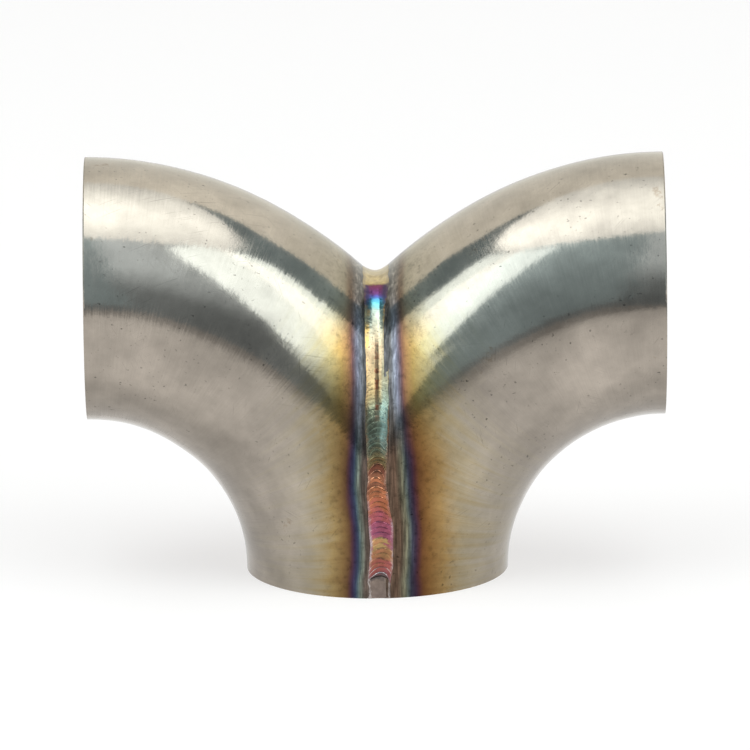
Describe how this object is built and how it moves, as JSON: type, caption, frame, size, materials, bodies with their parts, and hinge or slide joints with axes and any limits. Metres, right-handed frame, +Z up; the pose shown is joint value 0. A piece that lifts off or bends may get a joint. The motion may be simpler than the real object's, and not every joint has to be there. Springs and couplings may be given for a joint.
{
  "type": "twin-elbow wye fitting",
  "caption": "Wye tube fitting made of mitred 90 degree elbows welded back to back, which splits flow from a round bottom port to opposite side ports.",
  "frame": {"origin": "centre of the inlet, in the plane of its end face", "axes": "+Z up the inlet's axis, +X along the right outlet's axis, +Y to the back; the two elbows mirror each other in the plane X = 0"},
  "size_m": [0.14, 0.0646, 0.1018],
  "materials": {
    "tube": "thin stainless tube, brushed around the tube, with heat tint beside the weld",
    "weld": "as-welded stainless bead with fine ripples and rainbow heat tint"
  },
  "bodies": {
    "root": {"left_elbow": "tube", "right_elbow": "tube", "seam_weld": "weld"}
  },
  "joints": []
}
